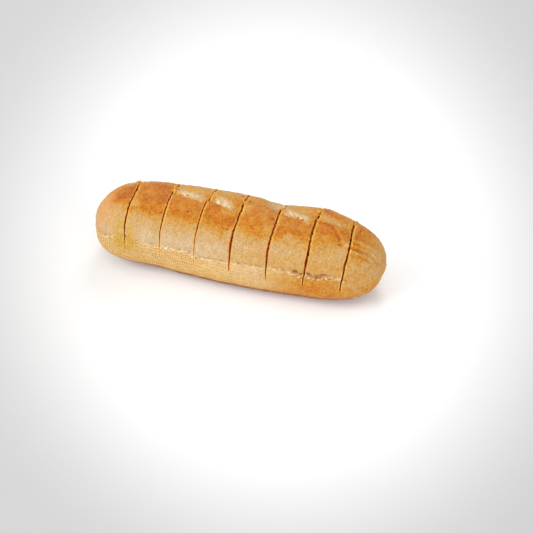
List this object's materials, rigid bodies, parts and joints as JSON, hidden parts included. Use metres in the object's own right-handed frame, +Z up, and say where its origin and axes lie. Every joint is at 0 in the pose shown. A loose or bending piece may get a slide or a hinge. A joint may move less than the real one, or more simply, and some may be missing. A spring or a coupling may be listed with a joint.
{
  "type": "garlic bread loaf",
  "caption": "Golden garlic baguette, cut part way down into portions that still hold together at the base.",
  "frame": {"origin": "under the middle of the loaf's bounding box, on the table", "axes": "+X along the loaf towards its right end, +Y across it towards the back, +Z up"},
  "size_m": [0.25, 0.076, 0.0633],
  "materials": {
    "crust": "satin"
  },
  "bodies": {
    "root": {"loaf": "crust"}
  },
  "joints": []
}
